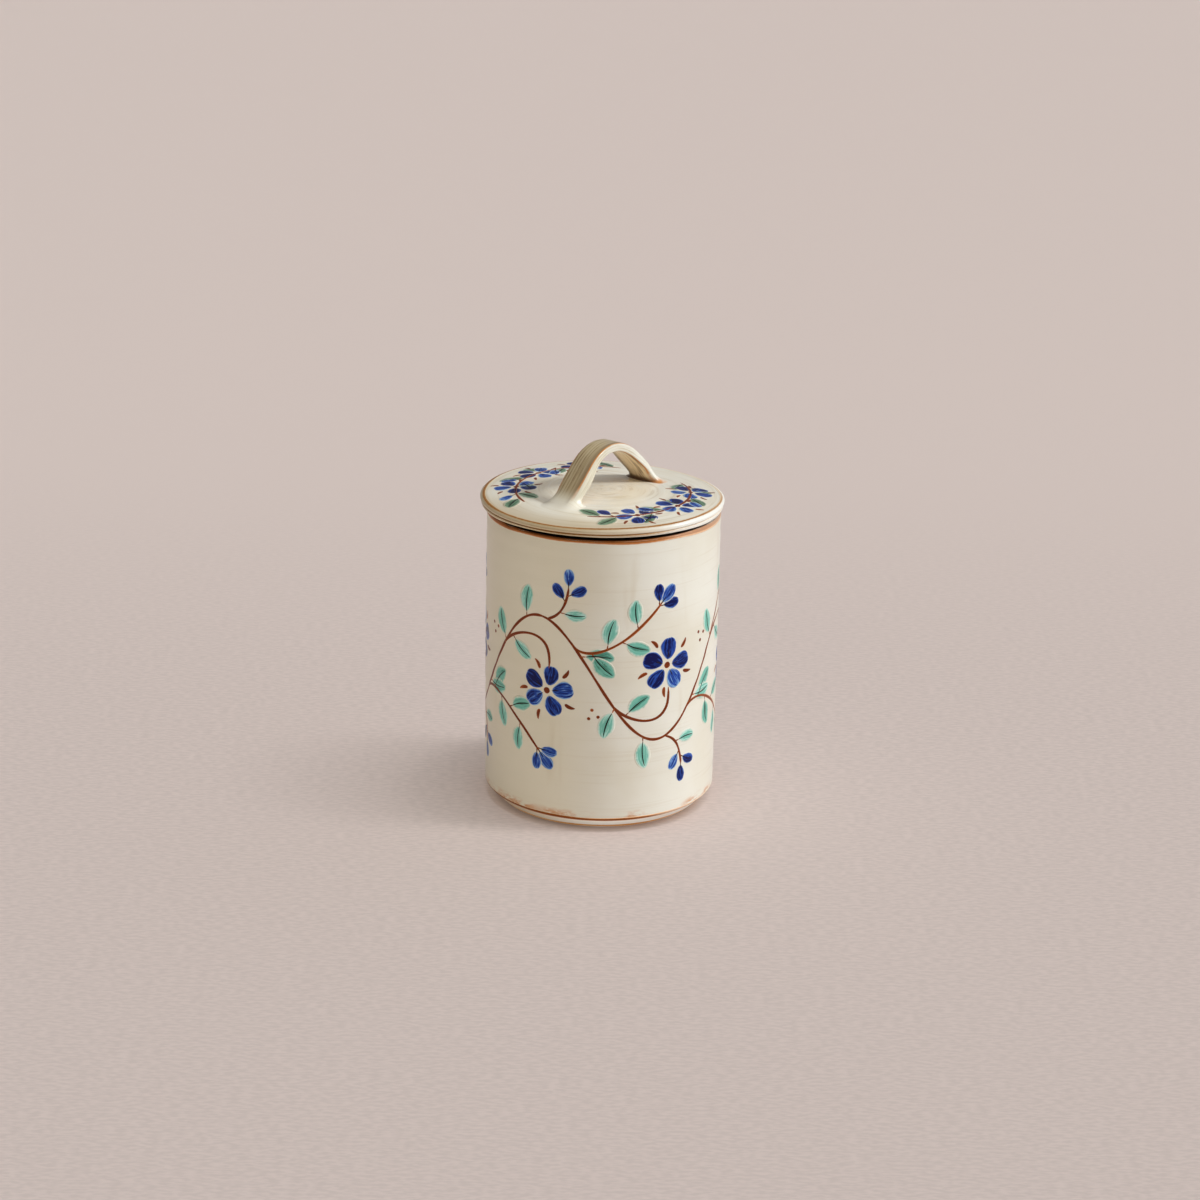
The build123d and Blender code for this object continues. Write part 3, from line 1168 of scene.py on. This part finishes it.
def paint_jar():
    """The vine, and brown lines at the rim, above the bevel and at the foot."""
    vine = Painter("jar", on_jar)
    paint_vine(vine)
    vine.build("jar", "jar_glaze", surface_paints("jar", False))
    rim = line_material("rim_iron", False, 0.4, BROWN, 0.3)
    # Painted shade: the rim's top under the lid is turned almost black.
    paint_seat_shade(rim, True, (JAR_RADIUS - 0.6) * MM, (JAR_RADIUS - 1.2) * MM)
    rim_centre = (JAR_RADIUS - 1.75, RIM_SHOULDER)
    jar_line("jar_brown_rim", rim, rim_centre, 7.4, 0.3, 1.2, columns=25, spread=1.2)
    base = line_material("base_iron", False, 0.22, DARK_BROWN, 0.5, ((0.3, 0.6), (0.6, 1.0)))
    jar_line("jar_base_line", base, (JAR_RADIUS - 0.8, BEVEL - 0.8), 2.9, 0.12, 1.3)
    foot = line_material("foot_iron", False, 0.5, FOOT_AMBER)
    jar_line("jar_foot_line", foot, (FOOT_RADIUS + 1.1, 1.1), 2.3, 0.4, 0.8)


def paint_lid():
    """The wreath, and brown lines round the top's edge, in the groove and under the lip, the last turned
    almost black where it faces down as painted shade of the seat.
    """
    wreath = Painter("lid", on_lid)
    paint_wreath(wreath)
    wreath.build("lid", "lid_glaze", surface_paints("lid", True))

    lines = Paint("lid_brown_lines", on_lid, LINE_LIFT)
    top_radius = LID_RADIUS - 1.8
    for sizes in (
        ((top_radius, lid_crown(top_radius)), 1.9, 0.25, 0.5),
        ((GROOVE_RADIUS, LID_GROOVE), 1.5, 0.2, 2.0),
        ((LID_RADIUS - 3.4, LID_UNDER + 0.65), 5.0, 0.2, 0.1, 17),
    ):
        band(lines, lid_profile, lid_warp, *sizes)
    # Painted shade: the line under the lip turns almost black where it faces down.
    lines.build("lid", "lid_glaze", paint_seat_shade(line_material("lid_iron", True, 0.6, AMBER), False, -0.4, -0.9))


# Stage

# Floor colours: darker near and paler far as painted light, and a painted contact shadow
FLOOR_FAR_LIT = (0.685, 0.577, 0.530, 1.0)
FLOOR_NEAR_SHADED = (0.650, 0.547, 0.503, 1.0)
FLOOR_FLECK = (0.52, 0.437, 0.402, 1.0)
FLOOR_CONTACT_SHADOW = (0.32, 0.28, 0.265, 1.0)
FLOOR_REACH = 8000.0
WEAVE = (220.0, 620.0)

# The room: even and dim, with soft glows of (side, height, reach, colour)
SKY = (0.150, 0.147, 0.146, 1.0)
GLOWS = (
    (152, 20, 0.72, (0.114, 0.120, 0.160, 1.0)),
    (92, 12, 0.25, (0.198, 0.239, 0.280, 1.0)),
    (-70, 40, 0.40, (0.110, 0.110, 0.080, 1.0)),
)

# Distant lights of (side, height, breadth, strength, colour): three for the jar, and the floor's own
WHITE = (1.0, 1.0, 1.0)
KEY = (87, 33, 11, 2.50, (0.92, 0.97, 1.0))
FRONT_TOP = (10, 65, 50, 0.74, (1.0, 0.98, 0.98))
BOUNCE = (-10, -64, 40, 0.87, (0.94, 0.99, 1.0))
FLOOR_EVEN = (0, 82, 30, 0.64, WHITE)
FLOOR_LIGHTS = (
    (86, 52, 8, 0.165, WHITE),
    (86, 60, 8, 0.175, WHITE),
    (86, 68, 8, 0.185, WHITE),
    (86, 76, 8, 0.320, WHITE),
    (0, 84, 24, 0.740, WHITE),
)


def floor_material():
    """A pale woven ground, paler and plainer far back, its paling a painted fall of light, with a painted
    contact shadow, a darker ring where the foot meets it, strongest on the shaded side.
    """
    net = new_net("studio_floor")
    place = net.place()
    back = net.toward(place, aim_from(180, 0))
    level = net.toward(place, aim_from(90, 0))
    # Painted light: the floor pales towards the back.
    colour = net.tint(FLOOR_NEAR_SHADED, FLOOR_FAR_LIT, back, -0.4, 0.9)
    weave = net.joined(net.times(level, WEAVE[0]), net.times(back, WEAVE[1]), 0.0)
    grain = net.ramp(net.noise(weave, 1.0, 1.0), 0.3, 0.7)
    grain = net.times(grain, net.ramp(back, 0.05, 0.6, 0.5, 0.0))
    colour = net.mix(grain, colour, FLOOR_FLECK)
    # Painted shadow: a darker ring round the foot, strongest on the shaded side.
    shady = net.ramp(net.toward(place, SHADY), -0.045, 0.02, 0.15, 1.0)
    contact_shadow = net.times(net.ramp(net.length(place), 0.0505, 0.0560, 0.8, 0.0), shady)
    colour = net.mix(contact_shadow, colour, FLOOR_CONTACT_SHADOW)
    return net.shade({"Base Color": colour, "Roughness": 0.9})


def make_stage():
    """A wide pale floor in a soft room. The bounce comes up through the floor, the key and front top lights
    leave the floor out, and the floor has lights of its own."""
    corners = np.array([(-1, -1, 0), (1, -1, 0), (1, 1, 0), (-1, 1, 0)]) * FLOOR_REACH
    floor = link_mesh("floor", corners, [(0, 1, 2, 3)])
    floor.data.materials.append(floor_material())
    floor.visible_shadow = False

    make_sky()
    add_sun("bounce", BOUNCE)
    aim_at(add_sun("front_top", FRONT_TOP), floor, "EXCLUDE")
    aim_at(add_sun("key", KEY), floor, "EXCLUDE")
    even = add_sun("floor_even", FLOOR_EVEN)
    even.data.use_shadow = False
    aim_at(even, floor, "INCLUDE")
    for i, settings in enumerate(FLOOR_LIGHTS):
        aim_at(add_sun(f"floor_{i}", settings), floor, "INCLUDE")


def aim_at(lamp, target, state):
    """Has a light fall on the target alone, or on all but the target."""
    group = bpy.data.collections.new(lamp.name + "_reach")
    group.objects.link(target)
    group.collection_objects[0].light_linking.link_state = state
    lamp.light_linking.receiver_collection = group


def make_sky():
    """The room's even light and its glows."""
    world = bpy.data.worlds.new("studio")
    bpy.context.scene.world = world
    world.use_nodes = True
    net = Net(world)
    ray = net.node("TexCoord").outputs["Generated"]
    light = SKY
    for side, up, reach, colour in GLOWS:
        lobe = net.ramp(net.toward(ray, aim_from(side, up)), reach, 1.0)
        light = net.mix(lobe, light, colour, "ADD")
    net.feed(net.tree.nodes["Background"].inputs[0], light)


def add_sun(name, settings):
    """A broad distant light."""
    side, height, angle, strength, colour = settings
    lamp = bpy.data.lights.new(name, "SUN")
    lamp.energy = strength
    lamp.angle = math.radians(angle)
    lamp.color = colour
    made = link_object(name, lamp)
    made.rotation_euler = aim_from(side, height).to_track_quat("Z", "Y").to_euler()
    return made


def spin(degrees, axis):
    return Matrix.Rotation(math.radians(degrees), 4, axis)


def make_camera():
    """The photograph's camera: its place, tilt and slight roll."""
    data = bpy.data.cameras.new("camera")
    data.sensor_width = SENSOR
    data.lens = SENSOR * FOCAL_PIXELS / FRAME_PIXELS
    camera = link_object("camera", data)
    stand = Matrix.Translation((0, -CAMERA_DISTANCE, CAMERA_HEIGHT))
    aimed = spin(CAMERA_AZIMUTH, "Z") @ stand @ spin(CAMERA_TURN, "Z")
    camera.matrix_world = aimed @ spin(90 - CAMERA_PITCH, "X") @ spin(CAMERA_ROLL, "Z")
    bpy.context.scene.camera = camera


make_jar()
make_lid()
make_flange()
make_handle()
paint_jar()
paint_lid()
make_stage()
make_camera()
bpy.context.scene.view_settings.view_transform = "Standard"
